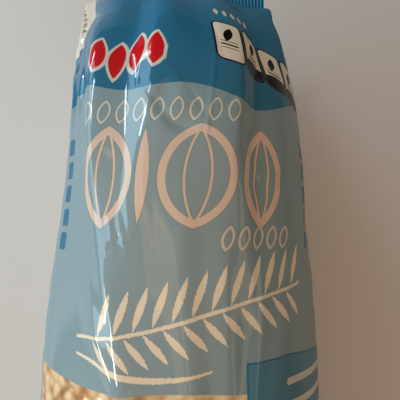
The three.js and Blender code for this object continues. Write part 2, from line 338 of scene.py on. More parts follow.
def pleat_wave(turn, count, start):
    """Waves round the pack, closer together at some places than at others."""
    return np.cos(count * turn + start + PLEAT_DRIFT * np.sin(3 * turn + start))


def pleat_lift(angle, y, depth):
    """Uneven pleats run out of each seal and die away along the pack."""
    turn = np.radians(angle)
    top = ease(92, 124, y) * ease(TOP_SEAL, TOP_SEAL - 5, y)
    base = ease(STACK_BASE + 13, STACK_BASE - 2, y) * ease(BASE_SEAL, BASE_SEAL + 3, y)
    return depth * (top * pleat_wave(turn, 13, 0.6) + base * pleat_wave(turn, 16, 2.1))


def slack_lift(angle, y):
    """The film hangs a little slack between two cakes at the sides and behind."""
    between = (1 - np.cos((y - STACK_BASE) / CAKE_PITCH * 2 * math.pi)) / 2
    held = np.where((y < STACK_TOP) & (y > STACK_BASE), 1.0, 0.0)
    beside = ease(40, 100, np.abs(angle)) * ease(176, 150, np.abs(angle))
    return SLACK * held * (between - 1) * beside


def small_creases(angle, y, count, height, seed):
    """The short creases above, and more scattered by a fixed seed, thicker on the neck."""
    chance = np.random.default_rng(seed)
    creases = list(SHORT_CREASES)
    for _ in range(count):
        at = chance.uniform(-175, 175)
        anywhere, on_neck = (chance.uniform(start, TOP_SEAL) for start in (BASE_SEAL, NECK_START))
        place = chance.choice([anywhere, on_neck])
        lean = chance.normal(0, CREASE_LEAN)
        reach = chance.uniform(*CREASE_HALF_LONG)
        wide = chance.uniform(*CREASE_HALF_WIDE)
        lift = height * chance.uniform(*CREASE_SHARE) * chance.choice([-1, 1])
        creases.append((at, place, lean, reach, wide, lift))
    total = np.zeros(np.broadcast(angle, y).shape)
    for at, place, lean, reach, wide, lift in creases:
        across = (angle - at) * MM_PER_DEGREE
        along = y - place
        down = along * math.cos(lean) + across * math.sin(lean)
        off = across * math.cos(lean) - along * math.sin(lean)
        along_share = np.clip(1 - (down / reach) ** 2, 0, 1)
        total = total + lift * (along_share * np.clip(1 - np.abs(off) / wide, 0, 1) ** 1.5)
    return total * ease(BASE_SEAL, BASE_SEAL + 6, y) * ease(TOP_SEAL, TOP_SEAL - 6, y)


# ---- sections ----
def power(value):
    return np.sign(value) * np.abs(value) ** OVAL_POWER


def oval_section(angle, y):
    """The film round the stack of cakes."""
    turn = np.radians(angle)
    up = np.cos(turn)
    reach = np.where(up > 0, ridge_z(y) - WIDEST_Z, WIDEST_Z - under_z(y))
    return half_width(y) * power(np.sin(turn)), WIDEST_Z + reach * power(up)


def side_panel(crease_x, crease_z, share, y):
    """A side panel of the gusseted form: from its crease out, round and in to its tuck."""
    rest = 1 - share
    out_x, out_z = crease_x + swell(y), mix(SEAL_Z, crease_z, SIDE_BEND_RISE)
    in_x, in_z = crease_x - tuck(y), SEAL_Z
    x = rest * rest * crease_x + 2 * rest * share * out_x + share * share * in_x
    return x, rest * rest * crease_z + 2 * rest * share * out_z + share * share * in_z


def gusset_section(angle, y):
    """The film near a seal: a front and a back panel with a tucked side panel at each side."""
    away = np.abs(angle)
    corner = np.where(angle < 0, LEFT_CORNER, RIGHT_CORNER)
    edge_x = corner_x(y)
    front_z = mix(SEAL_Z + HALF_SEAL_THICK, ridge_z(y), FRONT_EDGE_RISE)
    back_z = mix(SEAL_Z - HALF_SEAL_THICK, under_z(y), BACK_EDGE_RISE)
    front = np.clip(away / corner, 0, 1)
    back = np.clip((180 - away) / BACK_CORNER, 0, 1)
    upper = side_panel(edge_x, front_z, np.clip((away - corner) / (90 - corner), 0, 1), y)
    lower_share = np.clip((180 - BACK_CORNER - away) / (90 - BACK_CORNER), 0, 1)
    lower = side_panel(edge_x, back_z, lower_share, y)
    parts = [away <= corner, away <= 90, away <= 180 - BACK_CORNER]
    x = np.select(parts, [edge_x * front, upper[0], lower[0]], edge_x * back)
    front_line = mix(ridge_z(y), front_z, front**2)
    z = np.select(parts, [front_line, upper[1], lower[1]], mix(under_z(y), back_z, back**2))
    return np.sign(angle) * x, z


def film_surface(angle, y, creases, crease_height, pleats, seed):
    """Points of the film skin, in millimetres, for arrays of angle and Y."""
    to_top = ease(STACK_TOP + 6, TOP_SEAL - 2, y)
    gusseted = np.maximum(to_top, ease(STACK_BASE + 5, BASE_SEAL + 1, y))
    oval, gusset = oval_section(angle, y), gusset_section(angle, y)
    turn = np.radians(angle)
    lift = fold_lift(angle, y) + pleat_lift(angle, y, pleats) + slack_lift(angle, y)
    lift = lift + small_creases(angle, y, creases, crease_height, seed)
    lift = lift * ease(180, 172, np.abs(angle))  # none at the back seam
    x = mix(oval[0], gusset[0], gusseted) + lift * np.sin(turn)
    z = mix(oval[1], gusset[1], gusseted) + lift * np.cos(turn)
    near_seal = ease(TOP_SEAL - 12, TOP_SEAL, y) + ease(BASE_SEAL + 4, BASE_SEAL, y)
    start = np.where(y > 0, RIPPLE_START["top"], RIPPLE_START["base"])
    z = z + SEAL_RIPPLE * near_seal * np.sin(x / HALF_SEAL * RIPPLE_WAVES + start)
    return np.stack([x + sway(y), np.broadcast_to(y, x.shape), z], axis=-1)


def length_up_ridge(y):
    """Length along the ridge line from Y 0, the height on the label."""
    fine = np.linspace(BASE_SEAL, TOP_SEAL, RIDGE_POINTS)
    steps = np.hypot(np.diff(fine), np.diff(ridge_z(fine)))
    run = np.concatenate([[0], np.cumsum(steps)])
    run -= np.interp(0, fine, run)
    return np.interp(y, fine, run)


def level(angle):
    return lambda y: angle + 0 * y


# Columns of the skin follow the main folds, so that no crease crosses the mesh at a slant.  Each
# guide is a line of angle and the number of columns from it to the next.
GUIDES = (
    (level(-180), 34),
    (level(-100), 22),
    (level(-64), 46),
    (low_crease, 12),
    (panel_crease, 15),
    (left_valley, 13),
    (left_crest, 56),
    (right_crest, 13),
    (right_valley, 50),
    (level(100), 34),
    (level(180), 0),
)


def column_angles(y):
    lines = [line(y) for line, _ in GUIDES]
    parts = [
        mix(lines[i], lines[i + 1], step / steps)
        for i, (_, steps) in enumerate(GUIDES[:-1])
        for step in range(steps)
    ]
    return np.stack([*parts, lines[-1]], axis=1)


def row_stations(step):
    """Rows along Y: close where the film is creased, wider over the plain lower body."""
    start, rows = BASE_SEAL, []
    # Each stretch is where it stops, the length that its rows are counted for, and their spread.
    stretches = ((STACK_BASE + 8, 18, 1), (CREASED_FROM, 95, 1.8), (TOP_SEAL - 8, 150, 1))
    for stop, length, spread in stretches:
        rows.append(np.linspace(start, stop, round(length / (spread * step)), endpoint=False))
        start = stop
    rows.append(np.linspace(start, TOP_SEAL, round(10 / step) + 1))
    return np.concatenate(rows)


# ----------------------------------------
# Meshes
# ----------------------------------------
def face_corners(across, along):
    """Pairs for the four corners of each face of the skin, from values at its rows and columns."""
    pairs = np.stack(np.broadcast_arrays(across, along), axis=-1)
    corners = [pairs[:-1, :-1], pairs[:-1, 1:], pairs[1:, 1:], pairs[1:, :-1]]
    return np.stack(corners, axis=2).reshape(-1, 2)


def film_mesh(sizes):
    """The skin as rows of four-sided faces, with its label and its bake layout as two UV maps."""
    y = row_stations(sizes.film_step / MM)
    angle = column_angles(y)
    points = film_surface(
        angle, y[:, None],
        sizes.crease_count, sizes.crease_height / MM, sizes.pleat_depth / MM, sizes.seed,
    )
    rows, stops = angle.shape
    columns = stops - 1
    steps = np.linalg.norm(np.diff(points, axis=1), axis=2)
    round_length = np.pad(np.cumsum(steps, axis=1), ((0, 0), (1, 0)))
    across = np.stack([run - np.interp(0, at, run) for run, at in zip(round_length, angle)])
    up = length_up_ridge(y)

    ring = np.arange(columns)
    corner = np.arange(rows - 1)[:, None] * columns
    here, beside = corner + ring, corner + (ring + 1) % columns
    sides = np.stack([here, beside, beside + columns, here + columns], axis=-1).reshape(-1, 4)
    bake_x = np.arange(stops) / columns
    bake_y = SKIN_BAKE_START + SKIN_BAKE_SPAN * (np.arange(rows) / (rows - 1))
    label = face_corners(across, up[:, None])
    bake = face_corners(bake_x, bake_y[:, None])

    # Each end is shut by strips between its front half and its back half.
    half = columns // 2
    caps, cap_label, cap_bake = [], [], []
    for row, is_top, low in ((0, False, BASE_CAP_BAKE), (rows - 1, True, TOP_CAP_BAKE)):
        first = row * columns
        for step in range(half):
            a, b = first + step, first + (step + 1)
            c, d = first + (columns - 1 - step) % columns, first + (columns - step) % columns
            corners = list(dict.fromkeys([d, c, b, a] if is_top else [a, b, c, d]))
            if len(corners) < 3:
                continue
            caps.append(corners)
            for vertex in corners:
                column = vertex - first
                nearer = min(column, columns - column) / half
                cap_label.append((across[row, column], up[row]))
                cap_bake.append((CAP_BAKE_WIDE * nearer, low + CAP_BAKE_HIGH * (column > half)))
    mesh = bpy.data.meshes.new(SKIN)
    mesh.from_pydata((points[:, :-1].reshape(-1, 3) * MM).tolist(), [], [*sides.tolist(), *caps])
    for name, skin, ends in ((LABEL_MAP, label, cap_label), (BAKE_MAP, bake, cap_bake)):
        layer = mesh.uv_layers.new(name=name)
        layer.uv.foreach_set("vector", np.concatenate([skin, ends]).astype(np.float32).ravel())
    mesh.uv_layers[BAKE_MAP].active = True
    mesh.polygons.foreach_set("use_smooth", [True] * len(sides) + [False] * len(caps))
    mesh.update()
    return mesh


# ----------------------------------------
# Node trees: one wrapped socket and one method that makes any node
# ----------------------------------------
def math_operators(operation):
    """A Python operator on fields and its reflected form, which each add one Math node."""

    def apply(self, other):
        return self.graph.math(operation, self, other)

    def apply_reflected(self, other):
        return self.graph.math(operation, other, self)

    return apply, apply_reflected


class Field:
    """A number that changes over a surface.  Arithmetic on it adds Math nodes."""

    def __init__(self, graph, socket):
        self.graph = graph
        self.socket = socket

    __add__, __radd__ = math_operators("ADD")
    __sub__, __rsub__ = math_operators("SUBTRACT")
    __mul__, __rmul__ = math_operators("MULTIPLY")
    __truediv__, __rtruediv__ = math_operators("DIVIDE")
    __and__, __rand__ = math_operators("MINIMUM")
    __or__, __ror__ = math_operators("MAXIMUM")

    def __neg__(self):
        return self.graph.math("MULTIPLY", self, -1)

    def __abs__(self):
        return self.graph.math("ABSOLUTE", self)


def named(fields, name):
    """The one of a node's outputs that has this name."""
    return next(field for field in fields if field.socket.name == name)


class Graph:
    """Adds nodes to a tree and links them."""

    def __init__(self, tree):
        self.tree = tree

    def node(self, kind, settings=None, *values, **named):
        """Makes a node: its settings, then its sockets by order or name.  Returns its outputs."""
        made = self.tree.nodes.new(kind)
        for name, value in (settings or {}).items():
            if name == "stops":
                ramp = made.color_ramp
                for place, _ in value[2:]:
                    ramp.elements.new(place)
                for element, (place, colour) in zip(ramp.elements, sorted(value)):
                    element.position = place
                    element.color = colour
            else:
                setattr(made, name, value)
        open_sockets = [socket for socket in made.inputs if socket.enabled]
        pairs = list(zip(open_sockets, values))
        pairs += [
            (next(s for s in open_sockets if s.name == name.replace("_", " ")), value)
            for name, value in named.items()
        ]
        for socket, value in pairs:
            if isinstance(value, Field):
                self.tree.links.new(value.socket, socket)
            elif socket.is_multi_input:
                for field in reversed(value):
                    self.tree.links.new(field.socket, socket)
            else:
                socket.default_value = value
        return [Field(self, socket) for socket in made.outputs if socket.enabled]

    def math(self, operation, *values, **settings):
        return self.node("ShaderNodeMath", {"operation": operation, **settings}, *values)[0]

    def vector(self, x, y, z=0.0):
        return self.node("ShaderNodeCombineXYZ", None, x, y, z)[0]

    def parts(self, vector):
        return self.node("ShaderNodeSeparateXYZ", None, vector)


def srgb(red, green, blue):
    """Linear colour of a display colour given from 0 to 255."""
    shares = [channel / 255 for channel in (red, green, blue)]
    return [c / 12.92 if c <= 0.04045 else ((c + 0.055) / 1.055) ** 2.4 for c in shares]


# ----------------------------------------
# The print: every shape gives a distance that is positive inside it, in millimetres
# ----------------------------------------
PRINT_EDGE = 0.12
TOAST = (
    (0.0, (250, 236, 206)), (1.0, (150, 98, 60)), (0.45, (232, 206, 164)), (0.75, (196, 150, 104))
)
CAKE_RIM = (132, 84, 50)
COAT, COAT_LOST, COAT_ADDED = 0.4, 0.3, 0.6


class Print(Graph):
    """Paint on the label: s runs across from the ridge line, v along the pack."""

    def __init__(self, tree, tones):
        super().__init__(tree)
        self.tones = tones
        self.s, self.v, _ = self.parts(self.node("ShaderNodeUVMap", {"uv_map": LABEL_MAP})[0])
        self.spot = self.vector(self.s, self.v)
        self.colour = tones.sky

    def mask(self, inside, soft=PRINT_EDGE):
        return self.math("ADD", inside / soft, 0.5, use_clamp=True)

    def mix(self, mask, under, over):
        colours = [value if isinstance(value, Field) else (*value, 1) for value in (under, over)]
        return self.node(
            "ShaderNodeMix", {"data_type": "RGBA"}, Factor=mask, A=colours[0], B=colours[1]
        )[0]

    def paint(self, inside, over, soft=PRINT_EDGE):
        """Prints a shape over what is there."""
        self.colour = self.mix(self.mask(inside, soft), self.colour, over)

    def length(self, x, y):
        return self.math("SQRT", x * x + y * y)

    def wave(self, at, length, start=0.0):
        return self.math("SINE", at * (2 * math.pi / length) + start)

    def repeat(self, at, pitch):
        """The distance from the middle of the nearest of evenly spaced places."""
        return self.math("WRAP", at, pitch / 2, -pitch / 2)

    def turned(self, s, v, degrees):
        cosine, sine = math.cos(math.radians(degrees)), math.sin(math.radians(degrees))
        return s * cosine + v * sine, v * cosine - s * sine

    def disc(self, x, y, radius):
        return radius - self.length(x, y)

    def panel(self, x, y, half_wide, half_high, corner):
        out_x = (abs(x) - (half_wide - corner)) | 0.0
        out_y = (abs(y) - (half_high - corner)) | 0.0
        return corner - self.length(out_x, out_y)

    def grain(self, x, y, half_long, half_wide):
        """A rice grain, pointed at both ends, that stands along y."""
        radius = (half_long**2 + half_wide**2) / (2 * half_wide)
        return radius - self.length(abs(x) + (radius - half_wide), y)

    def line_of(self, inside, width):
        return width / 2 - abs(inside)


def print_grounds(p):
    """Sky blue under a wavy edge, deep blue over it, and cream side panels with gold sprigs."""
    edge = p.v - (78.7 + 2.4 * p.wave(p.s, 90, 3.43) + 2.0 * p.wave(p.s, 45, 1.25))
    p.paint(edge, p.tones.deep)
    out = -p.s | (p.s - 26)
    p.paint((out - 37.5) & ((p.v - 110) + (out - 40)), p.tones.paper)
    sprig_v = p.v - 127
    sprig = p.grain(out - 43.0, p.repeat(sprig_v, 6), 2.6, 1.2) & (12 - abs(sprig_v))
    p.paint(sprig, p.tones.gold)


def print_red_grains(p):
    """Four red grains with pale rims, on a wavy line."""
    swing = p.v - 91.9 - 2.2 * p.wave(p.s, 20, 5.5)
    slant = 0.14 * swing
    seed_x = p.repeat(p.s + 22.5 - slant, 6.5)
    seeds = p.grain(seed_x, swing, 8.2, 3.4) & (13 - abs(p.s + 19.25 - slant))
    p.paint(seeds + 0.2, p.tones.cream)
    p.paint(seeds - 0.75, p.tones.red)


def print_tabs(p):
    """Tabs in a falling row on the right, with dark rims and, from the second on, a dark foot."""
    start = p.s - 13.8
    fall = p.v - 98 + 0.245 * start
    tab_x = p.repeat(start, 10.3)
    tab = p.panel(tab_x, fall, 5.0, 9.7, 2.4) & (36.05 - abs(p.s - 44.7))
    inner = tab - 0.7
    p.paint(tab, p.tones.ink)
    p.paint(inner, p.tones.paper)
    p.paint((-3.4 - fall - 0.06 * tab_x * tab_x) & inner & (p.s - 18.9), p.tones.ink)
    bead_v, tick_v = fall - 2.7, fall + 2.4
    bead = p.grain(tab_x - 0.25 * bead_v, bead_v, 3.6, 1.5) & inner
    tick = p.panel(tab_x, p.repeat(tick_v, 1.7), 2.9, 0.36, 0.3) & (1.7 - abs(tick_v)) & inner
    p.paint(bead | tick, p.tones.ink)
    dot_s = p.s - 18
    dots = p.grain(p.repeat(dot_s, 3.1), p.v - 115 + 0.2 * dot_s, 2.7, 0.85) & (7.75 - abs(dot_s))
    p.paint(dots, p.tones.cream)


def print_grain_rows(p):
    """A fine row of grain outlines over four large ones, then a short row at the right."""
    high, tall, low = p.v - 71.8, p.v - 52.5, p.v - 34.8
    fine_x = p.s + 9 - 0.2 * high
    fine = p.line_of(p.grain(p.repeat(fine_x, 5.6), high, 3.4, 1.7), 0.62) & (25.2 - abs(fine_x))
    short_x = p.s - 21.7 - 0.2 * low
    short = p.line_of(p.grain(p.repeat(short_x, 5.1), low, 3.2, 1.6), 0.8) & (12.75 - abs(short_x))
    large = p.grain(p.s + 13.2 - 0.08 * tall, tall, 13.4, 1.9)
    for centre, half_wide in ((-25.0, 7.4), (2.6, 10.2), (23.8, 6.4)):
        x = p.s - centre - 0.08 * tall
        for half, width in ((half_wide, 2.3), (0.38 * half_wide, 0.7)):
            large = large | p.line_of(p.grain(x, tall, 13.6, half), width)
    for shapes, tone in ((fine | short, p.tones.cream), (large, p.tones.blush)):
        p.colour = p.mix(p.mask(shapes + 0.35) * 0.3, p.colour, p.tones.gold)
        p.paint(shapes, tone)


def print_ear(p):
    """A brush-drawn ear of rice that climbs to the right, over a long swash."""
    u, w = p.turned(p.s - 2, p.v - 12.5 - 0.6 * p.wave(p.s, 60, 0.0), 12)
    stem = (0.6 * (1.0 - 0.006 * abs(u)) - abs(w)) & (39 - abs(u))
    upper = u - 0.55 * w
    lower = u + 0.55 * w
    above = p.grain(p.repeat(upper, 5.6), w - 6.4, 5.7, 1.25) & (33.6 - abs(upper - 2.8))
    below = p.grain(p.repeat(lower + 2.8, 5.6), w + 5.4, 4.8, 1.15) & (33.6 - abs(lower))
    swash_v = p.v + 2.0 + 1.8 * p.wave(p.s, 62, 2.4)
    swash = (0.3 + 0.6 * p.wave(p.s + 34, 90, 0.2) - abs(swash_v)) & (22 - abs(p.s + 14))
    bristle = p.node("ShaderNodeTexNoise", None, p.spot, Scale=1.3, Detail=3.0)[0]
    brush = (stem | above | below | swash) + (bristle - 0.5) * 0.9
    p.paint(brush, p.tones.brush, 0.2)


def print_cakes(p):
    """A field of puffed cakes across the lower front."""
    field = (-8.5 + 1.2 * p.wave(p.s, 60, 1.9)) - p.v
    kernels = p.node(
        "ShaderNodeTexVoronoi", {"feature": "SMOOTH_F1"}, p.spot, Scale=0.28, Smoothness=0.4
    )[0]
    toast = p.node("ShaderNodeTexNoise", None, p.spot, Scale=0.09, Detail=4.0)[0]
    stops = [(place, (*srgb(*tone), 1)) for place, tone in TOAST]
    tan = p.node("ShaderNodeValToRGB", {"stops": stops}, kernels * 0.8 + toast * 0.35)[0]
    stack = p.repeat(p.v + 24, 26)
    rim = p.line_of(p.disc(p.s, stack * 2.1, 47), 2.4)
    cake = p.mix(p.mask(rim, 1.6) * 0.6, tan, srgb(*CAKE_RIM))
    p.paint(field & (56 - abs(p.s)) & (p.v + 118), cake)


def print_teal_panel(p):
    """A teal panel low on the right, with rows of cream bars."""
    top = -1.2 - 0.2 * ((p.s - 33) | 0.0)
    box = (top - p.v) & (p.s - 18.8) & (64 - p.s) & (p.v + 52)
    p.paint(box + 0.5, p.tones.deep)
    p.paint(box, p.tones.teal)
    bar_s = p.s - 46
    bars = p.panel(bar_s, p.repeat(p.v + 10.5 + 0.1 * bar_s, 7), 13, 1.1, 1.0) & (box - 2)
    p.paint(bars & (17 - abs(p.v + 23)), p.tones.cream)


def print_sides_and_back(p):
    """Deep blue blocks up each side, and a cream panel behind with fine dark rules."""
    rail_v = p.v - 49
    rail = p.panel(abs(p.s) - 49.5, p.repeat(rail_v, 8.0), 2.4, 2.9, 0.9) & (20 - abs(rail_v))
    p.paint(rail, p.tones.deep)
    back_s, back_v = abs(p.s) - 118, p.v + 10
    back = p.panel(back_s, back_v, 26, 78, 3)
    p.paint(back, p.tones.paper)
    p.paint(p.panel(back_s, p.repeat(back_v, 8), 21, 0.45, 0.3) & (back - 4), p.tones.ink)


PRINTS = (
    print_grounds, print_red_grains, print_tabs, print_grain_rows, print_ear, print_cakes,
    print_teal_panel, print_sides_and_back,
)


def film_material(tones):
    """Printed film under a clear gloss coat, with faint haze and fine unevenness."""
    material = bpy.data.materials.new(FINISH)
    material.use_nodes = True
    tree = material.node_tree
    tree.nodes.clear()
    p = Print(tree, tones)
    for layer in PRINTS:
        layer(p)
    place = named(p.node("ShaderNodeTexCoord"), "Object")
    cloud = p.node("ShaderNodeTexNoise", None, place, Scale=22.0, Detail=3.0)[0]
    grit = p.node("ShaderNodeTexNoise", None, place, Scale=160.0, Detail=5.0)[0]
    # The coat is duller right of the neck's left crease, and glossier on the left of the neck.
    duller = p.mask(p.v - 91, 14) & p.mask(p.s + 27, 8)
    glossier = p.mask(p.v - 88, 12) & p.mask(-34 - p.s, 6)
    bump = p.node(
        "ShaderNodeBump", None, Strength=0.12, Distance=0.0004, Height=grit + cloud * 0.6
    )[0]
    shader = p.node(
        "ShaderNodeBsdfPrincipled", None,
        Base_Color=p.colour, Roughness=0.38 + cloud * 0.14, Metallic=0.1, Normal=bump,
        Specular_IOR_Level=0.0, Coat_Weight=COAT - COAT_LOST * duller + COAT_ADDED * glossier,
        Coat_Roughness=0.05, Coat_IOR=2.2,
    )[0]
    p.node("ShaderNodeOutputMaterial", None, shader)
    return material


# ----------------------------------------
# Geometry Nodes: the crimped seals and the back fin
# ----------------------------------------
MERGE_REACH = 1e-6
RIM_FADE = 12
RAY_START, RAY_LENGTH = -0.1, 0.3


class Shape(Graph):
    """A Geometry Nodes tree that shapes and thickens one sheet, with named inputs for its sizes."""

    def __init__(self, name, **inputs):
        tree = bpy.data.node_groups.new(name, "GeometryNodeTree")
        super().__init__(tree)
        tree.interface.new_socket("Geometry", in_out="OUTPUT", socket_type="NodeSocketGeometry")
        self.names = {}
        for kind, labels in inputs.items():
            for label in labels:
                made = tree.interface.new_socket(
                    label, in_out="INPUT", socket_type=f"NodeSocket{kind}"
                )
                self.names[label] = made.identifier
        self.inputs = dict(zip(self.names, self.node("NodeGroupInput")))

    def sheet(self):
        """The flat sheet, and the X and Y of its points."""
        sizes = [self.inputs[name] for name in ("Width", "Length", "Steps Across", "Steps Along")]
        grid = self.node("GeometryNodeMeshGrid", None, *sizes)[0]
        return grid, *self.place()

    def place(self):
        x, y, _ = self.parts(self.node("GeometryNodeInputPosition")[0])
        return x, y

    def thicken(self, sheet, thick):
        """Gives a sheet its thickness downwards, with its first face kept on top."""
        lowered = self.node(
            "GeometryNodeExtrudeMesh", {"mode": "FACES"}, sheet,
            Offset=self.vector(0.0, 0.0, -thick), Offset_Scale=1.0, Individual=False,
        )[0]
        lower = self.node("GeometryNodeFlipFaces", None, lowered)[0]
        joined = self.node("GeometryNodeJoinGeometry", None, [sheet, lower])[0]
        return self.node("GeometryNodeMergeByDistance", None, joined, Distance=MERGE_REACH)[0]

    def finish(self, sheet, spot, thick, label_shift, material):
        """Puts the sheet's points at their spots and adds thickness, label and finish."""
        shaped = self.node("GeometryNodeSetPosition", None, sheet, Position=spot)[0]
        solid = self.thicken(shaped, thick)
        x, y = self.place()
        labelled = self.node(
            "GeometryNodeStoreNamedAttribute", {"data_type": "FLOAT2", "domain": "CORNER"}, solid,
            Name=LABEL_MAP, Value=self.vector(x / MM + label_shift[0], y / MM + label_shift[1]),
        )[0]
        flat = self.node("GeometryNodeSetShadeSmooth", None, labelled, Shade_Smooth=False)[0]
        real = self.node("GeometryNodeRealizeInstances", None, flat)[0]
        coated = self.node("GeometryNodeSetMaterial", None, real, Material=material)[0]
        self.node("NodeGroupOutput", None, coated)


def seal_tree(material):
    g = Shape(
        "Crimped seal",
        Float=(
            "Width", "Length", "Thickness", "Centre X", "Centre Y", "Height", "Outward",
            "Rib Pitch", "Rib Depth", "Tooth Pitch", "Tooth Depth",
            "Ripple", "Ripple Waves", "Ripple Start", "Label Offset",
        ),
        Int=("Steps Across", "Steps Along"),
    )
    n = g.inputs
    grid, x, y = g.sheet()
    outer = 0.5 + y * n["Outward"] / n["Length"]
    tooth = g.math("PINGPONG", x, n["Tooth Pitch"] / 2) / n["Tooth Pitch"] * 2 * n["Tooth Depth"]
    rib = g.math("SINE", x / n["Rib Pitch"] * (2 * math.pi)) * n["Rib Depth"]
    inside_rim = (outer * RIM_FADE) & ((1 - outer) * RIM_FADE) & 1.0
    turn = x / (n["Width"] / 2) * n["Ripple Waves"] + n["Ripple Start"]
    ripple = g.math("SINE", turn) * n["Ripple"]
    spot = g.vector(
        x + n["Centre X"],
        y + n["Centre Y"] - tooth * outer * n["Outward"],
        n["Height"] + ripple + rib * inside_rim + n["Thickness"] / 2,
    )
    g.finish(grid, spot, n["Thickness"], (0.0, n["Label Offset"]), material)
    return g


def fin_tree(material):
    g = Shape(
        "Back fin",
        Object=("Film",),
        Float=(
            "Width", "Length", "Centre Y", "Drop", "Overlap", "Rib Pitch", "Rib Depth",
            "Label Across",
        ),
        Int=("Steps Across", "Steps Along"),
    )
    n = g.inputs
    grid, x, y = g.sheet()
    along = y + n["Centre Y"]
    film = g.node("GeometryNodeObjectInfo", {"transform_space": "RELATIVE"}, n["Film"])
    hit = g.node(
        "GeometryNodeRaycast", None, named(film, "Geometry"),
        Source_Position=g.vector(0.0, along, RAY_START), Ray_Direction=(0.0, 0.0, 1.0),
        Ray_Length=RAY_LENGTH,
    )
    _, _, touch = g.parts(named(hit, "Hit Position"))
    rib = g.math("SINE", along / n["Rib Pitch"] * (2 * math.pi)) * n["Rib Depth"]
    spot = g.vector(x, along, touch + n["Overlap"] + rib)
    g.finish(grid, spot, n["Drop"] + n["Overlap"], (n["Label Across"], 0.0), material)
    return g


def grown(name, shape, values):
    """A plain mesh object made by a Geometry Nodes tree, its inputs set by their identifiers."""
    seed = bpy.data.objects.new(name, bpy.data.meshes.new(name))
    seed.data.materials.append(film_finish())
    bpy.context.scene.collection.objects.link(seed)
    modifier = seed.modifiers.new(name, "NODES")
    modifier.node_group = shape.tree
    for label, value in values.items():
        modifier[shape.names[label]] = value
    depsgraph = bpy.context.evaluated_depsgraph_get()
    mesh = bpy.data.meshes.new_from_object(seed.evaluated_get(depsgraph))
    seed.modifiers.clear()
    seed.data = mesh
    mesh.name = name
    return seed


def carried(piece):
    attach(piece, BODY)


# ----------------------------------------
# What a user can change
# ----------------------------------------
def length_property(name, description, millimetres):
    return FloatProperty(
        name=name, description=description, default=millimetres * MM, unit="LENGTH"
    )


def colour_property(name, description, red, green, blue):
    return FloatVectorProperty(
        name=name, description=description, subtype="COLOR", size=3, min=0, max=1,
        default=srgb(red, green, blue),
    )


def power_property(name, description, watts):
    return FloatProperty(name=name, description=description, default=watts, unit="POWER")


class RicePackSizes(bpy.types.PropertyGroup):
    """Sizes of the film, its creases and its seals."""

    film_step: length_property("Film Step", "Distance between two rows of the film", 0.78)
    pleat_depth: length_property("Pleat Depth", "Height of the pleats at each seal", 0.8)
    crease_count: IntProperty(
        name="Small Creases", description="Number of short creases", default=90
    )
    crease_height: length_property("Crease Height", "Height of the tallest short crease", 0.28)
    seed: IntProperty(name="Seed", description="Fixes where the short creases lie", default=5)
    rib_pitch: length_property("Rib Pitch", "Distance between two crimp ribs", 1.6)
    rib_depth: length_property("Rib Depth", "Half the height of a crimp rib", 0.22)
    tooth_pitch: length_property("Tooth Pitch", "Distance between two teeth of a cut edge", 3.2)
    tooth_depth: length_property("Tooth Depth", "Depth of the teeth of a cut edge", 1.5)
    fin_width: length_property("Fin Width", "Width of the folded back seam", 20)


class RicePackPrint(bpy.types.PropertyGroup):
    """Colours of the print."""

    sky: colour_property("Sky Blue", "Main field of the front", 137, 162, 171)
    deep: colour_property("Deep Blue", "Field under the top seal", 39, 113, 148)
    teal: colour_property("Teal", "Panel low on the right", 82, 134, 158)
    cream: colour_property("Cream", "Outlines of the small grains", 208, 209, 200)
    blush: colour_property("Blush", "Outlines of the large grains", 224, 201, 184)
    paper: colour_property("Paper", "Tabs, side panels and back panel", 232, 224, 205)
    brush: colour_property("Brush Cream", "Brush-drawn ear", 240, 228, 204)
    red: colour_property("Red", "Row of red grains", 205, 16, 26)
    gold: colour_property("Gold", "Sprigs on the side panels", 140, 132, 70)
    ink: colour_property("Ink", "Rims and rules", 10, 10, 12)


class RicePackStage(bpy.types.PropertyGroup):
    """Light, floor and camera."""

    window_power: power_property("Window Power", "Cool light on the left", 3.2)
    fill_power: power_property("Fill Power", "Warm light overhead", 1.7)
    pane_power: power_property("Pane Power", "Small bright panes, each a share of this", 0.9)
    lamp_power: power_property("Lamp Power", "Long warm lamps overhead, each a share of this", 0.12)
    sky_strength: FloatProperty(
        name="Surround", description="Brightness of the plain surround", default=0.2, min=0
    )
    floor: colour_property("Floor", "Plain pale floor", 218, 219, 220)
    lens: FloatProperty(name="Lens", description="Focal length", default=26.1, unit="CAMERA")


# ----------------------------------------
# Operators
# ----------------------------------------
SEAL_BITE = 1.0


def film_finish():
    return bpy.data.materials.get(FINISH) or film_material(bpy.context.scene.rice_pack_print)


class RICEPACK_OT_film(bpy.types.Operator):
    """Make the creased, printed film skin"""

    bl_idname = "rice_pack.film"
    bl_label = "Film Skin"

    def execute(self, context):
        film = bpy.data.objects.new(SKIN, film_mesh(context.scene.rice_pack_sizes))
        context.scene.collection.objects.link(film)
        film.data.materials.append(film_finish())
        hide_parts(CAD_NODE)
        carried(film)
        return {"FINISHED"}


